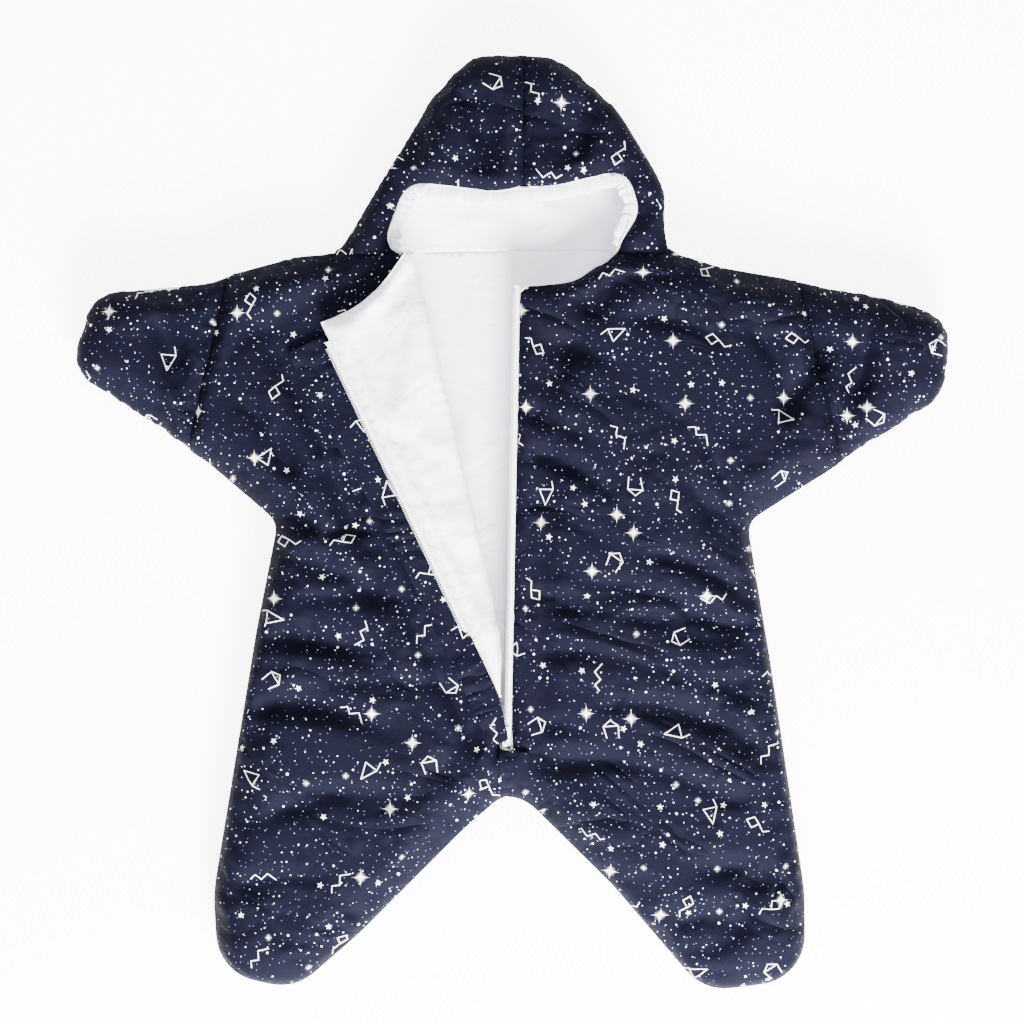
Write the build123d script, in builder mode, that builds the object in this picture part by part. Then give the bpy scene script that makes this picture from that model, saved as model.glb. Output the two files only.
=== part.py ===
"""Star-shaped hooded baby sleeping bag, lying on its back with the front flap folded open.

Millimetres. Origin under the middle of the bag, +Y to the hood, +Z up out of the front.
Every quilted panel is three layers: printed cotton outside, padding, white lining inside.
"""

from build123d import *
import math
import os

# Overall size, and the size that the pattern points are drawn for
bag_width = 748.0
bag_length = 800.0
pattern_width = 748.0
pattern_length = 800.0

# Layers, from the outside to the hollow inside
cotton = 1.0             # cotton cloth, outer and lining
padding = 14.0           # soft padding between them
hollow = 18.0            # empty space between the back and the front
edge_slope = 16.0        # how far the rounded rim of the bag reaches in, and down

# Room between pieces that move apart
joint_gap = 0.4
fold_lift = 1.3          # fold axis above the front's top

# Zip, measured along it from the apex at the bottom of the opening
zip_gap = 10.0           # between the flap's edge and the right front
zip_drop = 5.0           # chain below the front's top
zip_edge_slope = 10.0    # how far the flap's padding thins towards the zip
channel_below = 3.0      # how far the gap for the zip runs on below the apex
placket_rise = 12.0      # placket's lower end above the flap's
tape_thickness = 0.8
tape_inner = 2.2         # tape edge from the chain's centreline
tooth_pitch = 1.8
tooth_thickness = 0.6
tooth_height = 1.4
tooth_overlap = 0.8      # how far a tooth reaches past the centreline
comb_spine = 0.7
stop_length = 3.0
stop_height = 2.2
stop_clearance = 0.5     # between a stop and the slider against it
slider_length = 11.0
slider_width = 7.6
slider_plate = 1.1
slider_room = 2.4        # between its two plates
slider_lip = 0.5         # how far each plate's sides turn in
pull_length = 11.0
pull_width = 4.4
pull_thickness = 1.4
pull_pin_radius = 0.6
pull_pin_clearance = 0.05
pull_lift = 1.0          # pivot above the slider
lug_width = 2.0
lug_length = 2.6
ear_gap = 0.25

# Placket, the storm strip over the zip
placket_width = 26.0     # beyond the flap's edge
placket_hem = 8.0        # sewn down on the flap
placket_thickness = 1.2
placket_clearance = 0.3
tail_length = 30.0       # the placket's end below the zip
tail_clearance = 1.0

# Gathered casing round the hood's opening, with its elastic
casing_width = 12.0
casing_thickness = 3.4
casing_drop = 6.0        # below the front's top
casing_wall = 0.9
elastic_width = 5.0
elastic_thickness = 1.2
casing_clearance = 2.4   # casing's end from the flap's top corner as it turns

stack = padding + 2 * cotton
height = 2 * stack + hollow
middle = height / 2
across = bag_width / pattern_width
along = bag_length / pattern_length

# Rim of the bag: corner points with the radius that rounds each one, clockwise from the hood's top
rim = [
    (42, 399, 60), (92, 351, 90), (131, 288, 60), (133, 231, 16), (178, 217, 60),
    (318, 193, 90), (379, 175, 36), (369, 105, 40), (201, -1, 14), (221, -121, 300),
    (250, -316, 120), (251, -392, 42), (164, -403, 42), (86, -312, 150), (14, -241, 34),
    (-6, -233, 16), (-40, -262, 120), (-130, -352, 150), (-186, -401, 42), (-252, -387, 42),
    (-256, -318, 120), (-219, -92, 300), (-201, -1, 14), (-262, 51, 60), (-381, 129, 32),
    (-359, 196, 36), (-262, 205, 90), (-186, 226, 60), (-152, 229, 16), (-112, 294, 90),
    (-72, 360, 120), (-36, 401, 45),
]
# Opening for the face, with its neckline across the front
face_rim = [
    (-90, 289, 20), (-19, 280, 60), (38, 285, 30), (97, 299, 16), (109, 262, 20),
    (84, 225, 30), (52, 203, 30), (7, 199, 3), (-91, 227, 3), (-110, 236, 12),
]


def at(x, y):
    """A pattern point at the bag's own size."""
    return (x * across, y * along)


neck_y = 227.0 * along
hood_seam_x = 9.0 * across
arm_seam_right = (at(284, 30), at(241, 215))
arm_seam_left = (at(-284, 30), at(-240, 215))
apex = at(-1.3, -191)
zip_top = at(6.4, 202)
fold_top = at(-92, 227)

# Zip line and fold line both start at the apex
zip_length = math.dist(apex, zip_top)
zip_start = Vector(apex[0], apex[1], 0)
zip_direction = Vector(zip_top[0] - apex[0], zip_top[1] - apex[1], 0).normalized()
zip_left = Vector(-zip_direction.Y, zip_direction.X, 0)
fold_direction = Vector(fold_top[0] - apex[0], fold_top[1] - apex[1], 0).normalized()
fold_axis = Axis((apex[0], apex[1], height + fold_lift), (fold_direction.X, fold_direction.Y, 0))
chain_left = zip_gap / 2
chain_z = height - zip_drop
# The flap starts where it is wide enough to turn clear of the fixed side of the zip
turning_reach = stack + fold_lift
fold_angle = math.radians(fold_direction.get_angle(zip_direction))
flap_root = 1.04 * (turning_reach + chain_left + tooth_overlap) / math.sin(fold_angle)
placket_root = flap_root + placket_rise
slider_bottom = stop_length + tape_inner
slider_top = zip_length - stop_length - tape_inner


def prism(points, low, high):
    """A block over a plan outline of plain points."""
    with BuildPart() as block:
        with BuildSketch(Plane.XY.offset(low)):
            with BuildLine():
                Polyline(*points, close=True)
            make_face()
        extrude(amount=high - low)
    return block.part


def rounded_prism(corners, inset, low, high):
    """A block over a plan outline of points that each carry a corner radius, drawn in by inset."""
    with BuildPart() as block:
        with BuildSketch(Plane.XY.offset(low)):
            with BuildLine():
                points = [at(x, y) for x, y, radius in corners]
                FilletPolyline(*points, radius=[radius for x, y, radius in corners], close=True)
            make_face()
            if inset > 0:
                offset(amount=-inset, kind=Kind.ARC)
        extrude(amount=high - low)
    return block.part


def pillow(inset):
    """The closed star at a depth inside its outer surface, with its rim sloped top and bottom."""
    with BuildPart() as body:
        add(rounded_prism(rim, inset, inset, height - inset))
        flat_faces = body.faces().filter_by(Axis.Z)
        chamfer(flat_faces.edges(), length=edge_slope - inset * (2 - math.sqrt(2)))
    return body.part


def between(outside, inside):
    """The layer between two nested pillows."""
    with BuildPart() as layer:
        add(outside)
        add(inside, mode=Mode.SUBTRACT)
    return layer.part


def beside(start, end, side, gap):
    """All that lies on one side of a plan line: side 1 is its left, -1 its right, gap away from it."""
    direction = Vector(end[0] - start[0], end[1] - start[1], 0).normalized()
    outward = Vector(-direction.Y, direction.X, 0) * side
    reach = bag_length + bag_width
    near = Vector(start[0], start[1], 0) + outward * gap
    corners = [near - direction * reach, near + direction * reach]
    corners += [corners[1] + outward * reach, corners[0] + outward * reach]
    return prism([(p.X, p.Y) for p in corners], -1, height + 1)


def zip_point(distance, left):
    """A plan point a distance up the zip from the apex and left of the right front's edge."""
    p = zip_start + zip_direction * distance + zip_left * left
    return (p.X, p.Y)


def zip_bar(start, end, near, far, low, high):
    """A straight bar beside the zip line: from start to end along it, near to far to its left."""
    corners = [zip_point(start, near), zip_point(end, near), zip_point(end, far), zip_point(start, far)]
    return prism(corners, low, high)


def cut_from(layer, keep=(), drop=()):
    """The share of a layer inside all the regions to keep and outside all the regions to drop."""
    with BuildPart() as piece:
        add(layer)
        for region in keep:
            add(region, mode=Mode.INTERSECT)
        for region in drop:
            add(region, mode=Mode.SUBTRACT)
    return piece.part


def open_out(shape):
    """The same shape carried over with the flap as it folds open."""
    return shape.rotate(fold_axis, 180)


def save(shape, name):
    """Writes one finished piece."""
    shape.label = name
    export_step(shape, f"parts/{name}.step")


os.makedirs("parts", exist_ok=True)

# Three layers between four nested surfaces
surfaces = [pillow(0), pillow(cotton), pillow(cotton + padding), pillow(stack)]
layers = {
    "outer": between(surfaces[0], surfaces[1]),
    "padding": between(surfaces[1], surfaces[2]),
    "lining": between(surfaces[2], surfaces[3]),
}

# Plan regions
hood_side = beside((0, neck_y), (1, neck_y), 1, joint_gap / 2)
body_side = beside((0, neck_y), (1, neck_y), -1, joint_gap / 2)
past_right_seam = beside(*arm_seam_right, -1, joint_gap / 2)
past_left_seam = beside(*arm_seam_left, 1, joint_gap / 2)
within_right_seam = beside(*arm_seam_right, 1, joint_gap / 2)
within_left_seam = beside(*arm_seam_left, -1, joint_gap / 2)
right_of_zip = beside(apex, zip_top, -1, 0)
left_of_zip = beside(apex, zip_top, 1, 0)
left_of_fold = beside(apex, fold_top, 1, 0)
flap_span = [
    beside(apex, fold_top, -1, joint_gap),
    beside(apex, zip_top, 1, zip_gap),
    beside(zip_point(flap_root, 0), zip_point(flap_root, 1), -1, 0),
]
sheet_edge = bag_length + bag_width
square = [(-sheet_edge, -sheet_edge), (sheet_edge, -sheet_edge), (sheet_edge, sheet_edge),
          (-sheet_edge, sheet_edge)]
back_half = prism(square, -1, middle)
front_half = prism(square, middle, height + 1)
face_hole = rounded_prism(face_rim, 0, middle, height + 1)
zip_channel = zip_bar(-channel_below, zip_length + zip_gap, 0, zip_gap, middle, height + 1)
body = [body_side, within_right_seam, within_left_seam]

# The flap's underside rises towards the zip, so that its edge swings clear
wedge_plane = Plane(origin=(*zip_point(0, 0), 0), x_dir=zip_left, z_dir=zip_direction)
with BuildPart() as flap_wedge:
    with BuildSketch(wedge_plane):
        with BuildLine():
            Polyline(
                (0, height - stack),
                (zip_gap + zip_edge_slope, height - stack),
                (zip_gap, height - stack + zip_edge_slope),
                (0, height - stack + zip_edge_slope),
                close=True,
            )
        make_face()
    extrude(amount=zip_length + stack)

# Quilted panels of the body
for layer_name, layer in layers.items():
    save(cut_from(layer, [*body, back_half]), f"back_{layer_name}")
    save(cut_from(layer, [*body, front_half, right_of_zip], [face_hole]), f"front_right_{layer_name}")
    save(
        cut_from(layer, [*body, front_half, left_of_fold, left_of_zip], [face_hole, zip_channel]),
        f"front_left_{layer_name}",
    )
    flap = cut_from(layer, [*body, front_half, *flap_span], [face_hole, flap_wedge.part])
    save(open_out(flap), f"flap_{layer_name}")
    save(cut_from(layer, [past_right_seam]), f"arm_tip_right_{layer_name}")
    save(cut_from(layer, [past_left_seam]), f"arm_tip_left_{layer_name}")

# Hood: two outer panels that meet at a seam over the head, one padding and one lining
face_cut = [face_hole]
right_of_hood_seam = beside((hood_seam_x, 0), (hood_seam_x, 1), -1, 0)
left_of_hood_seam = beside((hood_seam_x, 0), (hood_seam_x, 1), 1, 0)
save(cut_from(layers["outer"], [hood_side, right_of_hood_seam], face_cut), "hood_outer_right")
save(cut_from(layers["outer"], [hood_side, left_of_hood_seam], face_cut), "hood_outer_left")
save(cut_from(layers["padding"], [hood_side], face_cut), "hood_padding")
save(cut_from(layers["lining"], [hood_side], face_cut), "hood_lining")

# Gathered casing inside the rim of the opening, hollow for its elastic
casing_high = height - casing_drop
casing_low = casing_high - casing_thickness
elastic_inset = (casing_width - elastic_width) / 2
elastic_low = (casing_low + casing_high - elastic_thickness) / 2
casing_rise = turning_reach * abs(fold_direction.X) + casing_clearance
turning_corner = prism(
    [(fold_top[0] - sheet_edge, neck_y - height), (fold_top[0] / 4, neck_y - height),
     (fold_top[0] / 4, neck_y + casing_rise), (fold_top[0] - sheet_edge, neck_y + casing_rise)],
    middle, height + 1,
)
with BuildPart() as casing:
    add(rounded_prism(face_rim, 0, casing_low, casing_high))
    add(rounded_prism(face_rim, casing_width, casing_low, casing_high), mode=Mode.SUBTRACT)
    add(hood_side, mode=Mode.INTERSECT)
    add(turning_corner, mode=Mode.SUBTRACT)
with BuildPart() as casing_inside:
    inside_low, inside_high = casing_low + casing_wall, casing_high - casing_wall
    add(rounded_prism(face_rim, casing_wall, inside_low, inside_high))
    add(rounded_prism(face_rim, casing_width - casing_wall, inside_low, inside_high), mode=Mode.SUBTRACT)
    add(hood_side, mode=Mode.INTERSECT)
    add(turning_corner, mode=Mode.SUBTRACT)
with BuildPart() as elastic:
    elastic_high = elastic_low + elastic_thickness
    add(rounded_prism(face_rim, elastic_inset, elastic_low, elastic_high))
    add(
        rounded_prism(face_rim, elastic_inset + elastic_width, elastic_low, elastic_high),
        mode=Mode.SUBTRACT,
    )
    add(hood_side, mode=Mode.INTERSECT)
    add(turning_corner, mode=Mode.SUBTRACT)
save(cut_from(casing.part, [], [casing_inside.part]), "hood_casing")
save(elastic.part, "hood_elastic")

# Placket on the flap, hemmed down along the flap's edge, and its tail below the zip
placket_low = height + placket_clearance
placket_high = placket_low + placket_thickness
flap_end = zip_length - zip_gap
with BuildPart() as placket:
    add(
        zip_bar(placket_root, flap_end, zip_gap - placket_width, zip_gap + placket_hem, placket_low,
                placket_high)
    )
    add(zip_bar(placket_root, flap_end, zip_gap, zip_gap + placket_hem, height, placket_low))
    vertical = placket.edges().filter_by(Axis.Z)
    far_corners = vertical.sort_by(lambda edge: edge.center().X)[-2:]
    fillet(far_corners, radius=placket_thickness * 3)
save(open_out(placket.part), "placket")
with BuildPart() as placket_tail:
    tail_end = -channel_below - tail_clearance
    tail_side = placket_width - zip_gap
    add(
        zip_bar(tail_end - tail_length, tail_end, -tail_side, zip_gap, height, height + placket_thickness)
    )
    fillet(placket_tail.edges().filter_by(Axis.Z), radius=placket_thickness * 2)
save(placket_tail.part, "placket_tail")


def tape(start, end, near, far):
    """A strip of zip tape."""
    return zip_bar(start, end, near, far, chain_z - tape_thickness / 2, chain_z + tape_thickness / 2)


def comb(start, end, root, tip, phase):
    """One side of the zip's coil: a spine along the tape with a tooth at every pitch."""
    spine = root + math.copysign(comb_spine, tip - root)
    count = int((end - start - tooth_pitch) / tooth_pitch)
    first = math.ceil(start / tooth_pitch) * tooth_pitch + phase
    points = [zip_point(start, root), zip_point(start, spine)]
    for i in range(count):
        low = first + i * tooth_pitch
        high = low + tooth_thickness
        points += [zip_point(low, spine), zip_point(low, tip), zip_point(high, tip), zip_point(high, spine)]
    points += [zip_point(end, spine), zip_point(end, root)]
    return prism(points, chain_z - tooth_height / 2, chain_z + tooth_height / 2)


# Zip: the right side is fixed, the left side goes with the flap and stops short of the parked slider
right_root = chain_left - tape_inner
left_root = chain_left + tape_inner
left_end = slider_top - slider_length - stop_length - 2 * stop_clearance
save(tape(0, slider_top + stop_length, 0, right_root), "zip_tape_right")
save(open_out(tape(flap_root, left_end + stop_length, left_root, zip_gap)), "zip_tape_left")
right_teeth = comb(stop_length, slider_top, right_root, chain_left + tooth_overlap, 0)
left_teeth = comb(flap_root + 1, left_end, left_root, chain_left - tooth_overlap, tooth_pitch / 2)
save(right_teeth, "zip_teeth_right")
save(open_out(left_teeth), "zip_teeth_left")

stop_low, stop_high = chain_z - stop_height / 2, chain_z + stop_height / 2
bottom_stop = zip_bar(0, stop_length - stop_clearance, right_root, left_root, stop_low, stop_high)
stop_right = zip_bar(
    slider_top + stop_clearance, slider_top + stop_length, right_root, chain_left, stop_low, stop_high
)
stop_left = zip_bar(
    left_end + stop_clearance / 2, left_end + stop_length, chain_left + tooth_overlap + stop_clearance / 2, left_root,
    stop_low, stop_high,
)
save(bottom_stop, "zip_bottom_stop")
save(stop_right, "zip_top_stop_right")
save(open_out(stop_left), "zip_top_stop_left")

# Slider: two plates with turned-in sides, a post between them, and a lug for the pull on top
room_low, room_high = chain_z - slider_room / 2, chain_z + slider_room / 2
plate_low, plate_high = room_low - slider_plate, room_high + slider_plate
slider_near, slider_far = chain_left - slider_width / 2, chain_left + slider_width / 2
slider_end = slider_bottom + slider_length
pivot_along = slider_bottom + slider_length / 2
pivot_z = plate_high + pull_lift
pivot = Vector(*zip_point(pivot_along, chain_left), pivot_z)
pin_plane = Plane(origin=pivot, x_dir=zip_direction, z_dir=zip_left)
with BuildPart() as zip_slider:
    for low, high, lip_low, lip_high in (
        (plate_low, room_low, room_low, room_low + slider_lip),
        (room_high, plate_high, room_high - slider_lip, room_high),
    ):
        add(zip_bar(slider_bottom, slider_end, slider_near, slider_far, low, high))
        for near, far in ((slider_near, slider_near + slider_plate), (slider_far - slider_plate, slider_far)):
            add(zip_bar(slider_bottom, slider_end, near, far, lip_low, lip_high))
    post_near = chain_left + tooth_overlap + slider_lip
    add(zip_bar(slider_end - slider_length / 2, slider_end, post_near, slider_far, room_low, room_high))
    lug_near, lug_far = chain_left - lug_width / 2, chain_left + lug_width / 2
    lug_start, lug_end = pivot_along - lug_length / 2, pivot_along + lug_length / 2
    add(zip_bar(lug_start, lug_end, lug_near, lug_far, plate_high, pivot_z + pull_lift))
    with BuildSketch(pin_plane):
        Circle(pull_pin_radius + pull_pin_clearance)
    extrude(amount=slider_width, both=True, mode=Mode.SUBTRACT)
save(zip_slider.part, "zip_slider")

# Pull tab: two ears either side of the lug, a pin through it, and a rounded tongue with a hole
ear_inner = lug_width / 2 + ear_gap
ear_outer = pull_width / 2
tongue_start = pivot_along - lug_length
tongue_end = pivot_along - pull_length
pull_low, pull_high = pivot_z - pull_thickness / 2, pivot_z + pull_thickness / 2
with BuildPart() as pull_tab:
    add(
        zip_bar(tongue_end, tongue_start, chain_left - ear_outer, chain_left + ear_outer, pull_low,
                pull_high)
    )
    tip_edges = pull_tab.edges().filter_by(Axis.Z).sort_by(lambda edge: edge.center().Y)[:2]
    fillet(tip_edges, radius=pull_width / 3)
    hole_centre = zip_point((tongue_end + tongue_start) / 2, chain_left)
    with BuildSketch(Plane(origin=(*hole_centre, pull_low), x_dir=zip_direction, z_dir=(0, 0, 1))):
        SlotOverall(pull_length / 3, pull_width / 3)
    extrude(amount=pull_thickness, mode=Mode.SUBTRACT)
    for near, far in ((-ear_outer, -ear_inner), (ear_inner, ear_outer)):
        add(
            zip_bar(tongue_start, pivot_along, chain_left + near, chain_left + far, pull_low, pull_high)
        )
        with BuildSketch(pin_plane.offset(near)):
            Circle(pull_thickness / 2)
        extrude(amount=far - near)
    with BuildSketch(pin_plane.offset(-ear_outer)):
        Circle(pull_pin_radius)
    extrude(amount=pull_width)
save(pull_tab.part, "pull_tab")
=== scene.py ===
import math
from functools import partial

import bpy
import numpy as np
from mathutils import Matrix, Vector
from mathutils.geometry import delaunay_2d_cdt


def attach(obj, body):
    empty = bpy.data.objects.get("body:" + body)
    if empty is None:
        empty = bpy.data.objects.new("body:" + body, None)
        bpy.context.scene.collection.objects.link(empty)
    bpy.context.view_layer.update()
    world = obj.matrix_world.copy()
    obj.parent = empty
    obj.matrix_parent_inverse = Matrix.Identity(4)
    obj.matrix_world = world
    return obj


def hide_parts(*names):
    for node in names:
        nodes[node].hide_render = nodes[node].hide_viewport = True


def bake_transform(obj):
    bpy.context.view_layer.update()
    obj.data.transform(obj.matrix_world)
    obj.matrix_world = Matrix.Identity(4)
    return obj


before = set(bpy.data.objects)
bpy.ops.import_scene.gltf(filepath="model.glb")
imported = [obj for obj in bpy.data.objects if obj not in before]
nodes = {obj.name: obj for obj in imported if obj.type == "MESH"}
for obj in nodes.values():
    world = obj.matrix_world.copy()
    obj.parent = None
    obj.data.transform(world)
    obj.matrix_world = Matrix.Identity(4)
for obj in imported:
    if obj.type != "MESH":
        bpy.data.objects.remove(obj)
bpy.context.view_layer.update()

# The bag's cut: rim corners (x, y, radius) in metres, clockwise from the hood's top
bagCut = {
    "rim": [
        (.042, .399, .06), (.092, .351, .09), (.131, .288, .06), (.133, .231, .016), (.178, .217, .06),
        (.318, .193, .09), (.379, .175, .036), (.369, .105, .04), (.201, -.001, .014), (.221, -.121, .3),
        (.250, -.316, .12), (.251, -.392, .042), (.164, -.403, .042), (.086, -.312, .15), (.014, -.241, .034),
        (-.006, -.233, .016), (-.040, -.262, .12), (-.130, -.352, .15), (-.186, -.401, .042),
        (-.252, -.387, .042), (-.256, -.318, .12), (-.219, -.092, .3), (-.201, -.001, .014),
        (-.262, .051, .06), (-.381, .129, .032), (-.359, .196, .036), (-.262, .205, .09),
        (-.186, .226, .06), (-.152, .229, .016), (-.112, .294, .09), (-.072, .360, .12), (-.036, .401, .045),
    ],
    "face": [
        (-.090, .289, .02), (-.019, .280, .06), (.038, .285, .03), (.097, .299, .016), (.109, .262, .02),
        (.084, .225, .03), (.052, .203, .03), (.007, .199, .003), (-.091, .227, .003), (-.110, .236, .012),
    ],
    "neck": .227, "hoodSeam": .009,
    "rightArmSeam": ((.284, .030), (.241, .215)), "leftArmSeam": ((-.284, .030), (-.240, .215)),
    "apex": (-.0013, -.191), "zipTop": (.0064, .202), "foldTop": (-.092, .227), "crotch": (-.006, -.240),
    "zipGap": .010,
    "step": .0072,              # cloth mesh size
}
# Heights of the layers as the bag lies
layers = {
    "top": .050, "rimHeight": .025, "linedTop": .034, "linedBase": .016, "edgeTop": .0446, "edgeUnder": .0436,
    "foldAxis": .0513, "puff": .0565, "rimReach": .042, "edgeReach": .014, "liningInset": .0145,
}
clothSettings = {
    "frames": 22, "growth": -.045, "pressure": 2.2, "bending": .25, "stiffness": 12.0, "limit": .016,
    "liningGrowth": -.03,
}

apex = np.array(bagCut["apex"])
zipTop = np.array(bagCut["zipTop"])
zipAlong = (zipTop - apex) / np.linalg.norm(zipTop - apex)
zipLeft = np.array([-zipAlong[1], zipAlong[0]])
zipLength = float(np.linalg.norm(zipTop - apex))
foldAlong = (np.array(bagCut["foldTop"]) - apex) / np.linalg.norm(np.array(bagCut["foldTop"]) - apex)
foldRight = np.array([foldAlong[1], -foldAlong[0]])


def zipPoint(distance, left):
    return apex + zipAlong * distance + zipLeft * left


def smooth(t):
    t = np.clip(t, 0, 1)
    return t * t * (3 - 2 * t)


def roundedLoopPoints(corners, step):
    count = len(corners)
    points = []
    for i in range(count):
        before, here, after = (np.array(corners[(i + k) % count][:2]) for k in (-1, 0, 1))
        radius = corners[i][2]
        toBefore = (before - here) / np.linalg.norm(before - here)
        toAfter = (after - here) / np.linalg.norm(after - here)
        half = math.acos(np.clip(toBefore @ toAfter, -1, 1)) / 2
        reach = radius / math.tan(half)
        centre = here + (toBefore + toAfter) / np.linalg.norm(toBefore + toAfter) * radius / math.sin(half)
        start, end = here + toBefore * reach, here + toAfter * reach
        turns = max(2, int(radius * (math.pi - 2 * half) / (step / 4)) + 1)
        for k in range(turns + 1):
            mix = start + (end - start) * k / turns - centre
            points.append(centre + mix / np.linalg.norm(mix) * radius)
    return resample(np.array(points), step, True)


def resample(points, step, closed=False):
    if closed:
        points = np.vstack([points, points[:1]])
    lengths = np.linalg.norm(np.diff(points, axis=0), axis=1)
    total = np.concatenate([[0], np.cumsum(lengths)])
    count = max(1, int(round(total[-1] / step)))
    at = np.linspace(0, total[-1], count + 1)
    out = np.stack([np.interp(at, total, points[:, k]) for k in range(points.shape[1])], 1)
    return out[:-1] if closed else out


def inside(points, loop):
    x, y = points[:, 0], points[:, 1]
    hit = np.zeros(len(points), bool)
    for a, b in zip(loop, np.roll(loop, -1, 0)):
        crosses = (a[1] > y) != (b[1] > y)
        with np.errstate(divide="ignore", invalid="ignore"):
            at = (b[0] - a[0]) * (y - a[1]) / (b[1] - a[1]) + a[0]
        hit ^= crosses & (x < at)
    return hit


def distanceTo(points, line, closed=False):
    ends = np.roll(line, -1, 0) if closed else line[1:]
    starts = line if closed else line[:-1]
    best = np.full(len(points), 9.0)
    nearest = np.zeros((len(points), 2))
    for a, b in zip(starts, ends):
        ab = b - a
        t = np.clip(((points - a) @ ab) / max(ab @ ab, 1e-12), 0, 1)
        at = a + t[:, None] * ab
        d = np.linalg.norm(points - at, axis=1)
        closer = d < best
        best[closer] = d[closer]
        nearest[closer] = at[closer]
    return best, nearest


def sideOf(points, a, b):
    a, b = np.array(a), np.array(b)
    return (b[0] - a[0]) * (points[:, 1] - a[1]) - (b[1] - a[1]) * (points[:, 0] - a[0])


step = bagCut["step"]
rimLoop = roundedLoopPoints(bagCut["rim"], step)
faceLoop = roundedLoopPoints(bagCut["face"], step)
neckLine = resample(np.array([(-.2, bagCut["neck"]), (.2, bagCut["neck"])]), step)
rightSeam = resample(np.array(bagCut["rightArmSeam"]), step)
leftSeam = resample(np.array(bagCut["leftArmSeam"]), step)
zipEdge = resample(np.array([zipPoint(-.003, 0), zipTop]), step)
flapEdge = resample(np.array([zipPoint(s, bagCut["zipGap"]) for s in (-.003, zipLength + .02)]), step)
slotEnd = resample(np.array([zipPoint(-.003, 0), zipPoint(-.003, bagCut["zipGap"])]), step)
foldLine = resample(np.array([apex, np.array(bagCut["foldTop"])]), step)
crotchSeam = resample(np.array([np.array(bagCut["crotch"]), zipPoint(-.003, 0)]), step)
hoodSeam = resample(np.array([(bagCut["hoodSeam"], bagCut["neck"]), (bagCut["hoodSeam"], .41)]), step)
print("lines ready", len(rimLoop))


def makePattern():
    lines = [(rimLoop, True), (faceLoop, True), (neckLine, False), (rightSeam, False), (leftSeam, False),
             (zipEdge, False), (flapEdge, False), (slotEnd, False), (foldLine, False),
             (crotchSeam, False), (hoodSeam, False)]
    points, edges = [], []
    for line, closed in lines:
        first = len(points)
        points += [tuple(p) for p in line]
        edges += [(first + k, first + k + 1) for k in range(len(line) - 1)]
        if closed:
            edges.append((first + len(line) - 1, first))
    low, high = rimLoop.min(0), rimLoop.max(0)
    rows = int((high[1] - low[1]) / (step * .866)) + 2
    cols = int((high[0] - low[0]) / step) + 2
    grid = np.array([(low[0] + (c + .5 * (r % 2)) * step, low[1] + r * step * .866)
                     for r in range(rows) for c in range(cols)])
    keep = inside(grid, rimLoop)
    for line, closed in lines:
        keep &= distanceTo(grid, line, closed)[0] > step * .6
    points += [tuple(p) for p in grid[keep]]
    flat, _, faces, _, _, _ = delaunay_2d_cdt([Vector(p) for p in points], edges, [], 0, 1e-5)
    flat = np.array([tuple(v) for v in flat])
    triangles = np.array([f for f in faces if len(f) == 3])
    centres = flat[triangles].mean(1)
    triangles = triangles[inside(centres, rimLoop)]
    a, b, c = (flat[triangles[:, k]] for k in range(3))
    area = np.cross(b - a, c - a)
    triangles[area < 0] = triangles[area < 0][:, ::-1]
    triangles = triangles[np.abs(area) > 1e-9]
    used = np.unique(triangles)
    renumber = np.full(len(flat), -1)
    renumber[used] = np.arange(len(used))
    return flat[used], renumber[triangles]


flat, triangles = makePattern()
centres = flat[triangles].mean(1)
onRim = distanceTo(flat, rimLoop, True)[0] < 1e-4
rimDistance, rimNearest = distanceTo(flat, rimLoop, True)
rimDistance[onRim] = 0
hood = centres[:, 1] > bagCut["neck"]
tipRight = sideOf(centres, *bagCut["rightArmSeam"]) < 0
tipLeft = sideOf(centres, *bagCut["leftArmSeam"]) > 0
tipRight &= centres[:, 0] > .2
tipLeft &= centres[:, 0] < -.2
rightOfZip = sideOf(centres, apex, zipTop) < 0
leftOfFold = sideOf(centres, apex, bagCut["foldTop"]) > 0
leftOfGap = (centres - apex) @ zipLeft > bagCut["zipGap"]
belowSlot = (centres - apex) @ zipAlong < -.003
faceHole = inside(centres, faceLoop)
body = ~(hood | tipRight | tipLeft)
regions = {
    "frontRight": body & rightOfZip & ~faceHole,
    "frontLeft": body & (leftOfFold | belowSlot) & ~rightOfZip & ~faceHole & (leftOfGap | belowSlot),
    "flap": body & ~leftOfFold & ~rightOfZip & leftOfGap & ~faceHole & ~belowSlot,
    "hoodRight": hood & ~faceHole & (centres[:, 0] > bagCut["hoodSeam"]),
    "hoodLeft": hood & ~faceHole & (centres[:, 0] <= bagCut["hoodSeam"]),
    "tipRight": tipRight, "tipLeft": tipLeft, "body": body, "hood": hood,
    "hoodBackRight": hood & (centres[:, 0] > bagCut["hoodSeam"]),
    "hoodBackLeft": hood & (centres[:, 0] <= bagCut["hoodSeam"]),
}
print("pattern", len(flat), "points", len(triangles), "triangles")

count = len(flat)
backIndex = np.arange(count) + count
backIndex[onRim] = np.arange(count)[onRim]
frontFaces = triangles
backFaces = backIndex[triangles][:, ::-1]


def bulge(distance, reach):
    t = np.clip(distance / reach, 0, 1)
    return np.sqrt(np.maximum(0, 1 - (1 - t) ** 2))


openEdges = [(zipEdge, False), (flapEdge, False), (slotEnd, False), (faceLoop, True)]
edgeDistance = np.minimum.reduce([distanceTo(flat, line, closed)[0] for line, closed in openEdges])
zipDistance = distanceTo(flat, zipEdge)[0]
seamLines = [neckLine, rightSeam, leftSeam]
seamDistance = np.minimum.reduce([distanceTo(flat, line)[0] for line in seamLines])
hoodSeamDistance = distanceTo(flat, hoodSeam)[0]
crotchDistance = distanceTo(flat, crotchSeam)[0]
foldOffset = (flat - apex) @ foldRight
foldDistance = (flat - apex) @ foldAlong


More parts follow.
